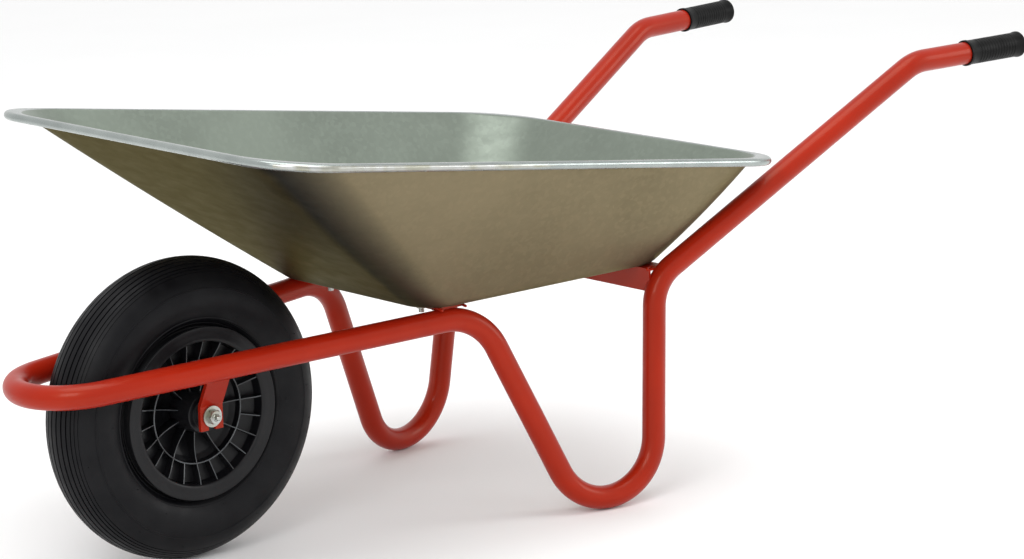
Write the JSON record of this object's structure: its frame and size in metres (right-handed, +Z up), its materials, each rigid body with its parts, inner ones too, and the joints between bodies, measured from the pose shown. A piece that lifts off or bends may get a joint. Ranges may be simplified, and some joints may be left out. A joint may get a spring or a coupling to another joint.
{
  "type": "wheelbarrow",
  "caption": "Single-wheel garden wheelbarrow: a bent red steel tube frame with leg loops and handles, a pressed galvanised tray with a rolled rim, and a pneumatic wheel.",
  "frame": {"origin": "on the ground, at the middle of the bounding box's base", "axes": "+X forward towards the wheel, +Y to the user's left, +Z up"},
  "size_m": [1.5438, 0.6842, 0.5873],
  "materials": {
    "red_paint": "glossy red powder coat",
    "galvanised_sheet": "dull galvanised steel sheet with a bright rolled edge",
    "zinc_plate": "bright zinc plate",
    "rim_plastic": "satin black moulded plastic",
    "nylon": "natural nylon",
    "tyre": "black ribbed rubber",
    "tube_rubber": "smooth butyl rubber",
    "grip": "black soft plastic with a fine grain"
  },
  "bodies": {
    "frame": {"frame_tube": "red_paint", "front_cross_strap": "red_paint", "rear_cross_member": "red_paint", "axle_bracket_left": "red_paint", "axle_bracket_right": "red_paint", "grip_left": "grip", "grip_right": "grip", "tray": "galvanised_sheet", "tray_rim_wire": "galvanised_sheet", "tray_bolts": "zinc_plate", "tray_washers": "zinc_plate", "tray_nuts": "zinc_plate", "axle_sleeve": "zinc_plate", "axle_bolt": "zinc_plate", "axle_washers": "zinc_plate", "axle_nut": "zinc_plate", "axle_spacer_left": "nylon", "axle_spacer_right": "nylon"},
    "wheel": {"rim": "rim_plastic", "rim_centre": "rim_plastic", "wheel_hub": "rim_plastic", "hub_bush_left": "nylon", "hub_bush_right": "nylon", "tyre": "tyre", "inner_tube": "tube_rubber", "valve_stem": "tube_rubber", "valve_cap": "rim_plastic"}
  },
  "joints": [
    {"name": "wheel_spin", "type": "hinge", "parent": "frame", "child": "wheel", "pos_m": [0.51985, 0, 0.2], "axis": [0, 1, 0], "continuous": true}
  ]
}
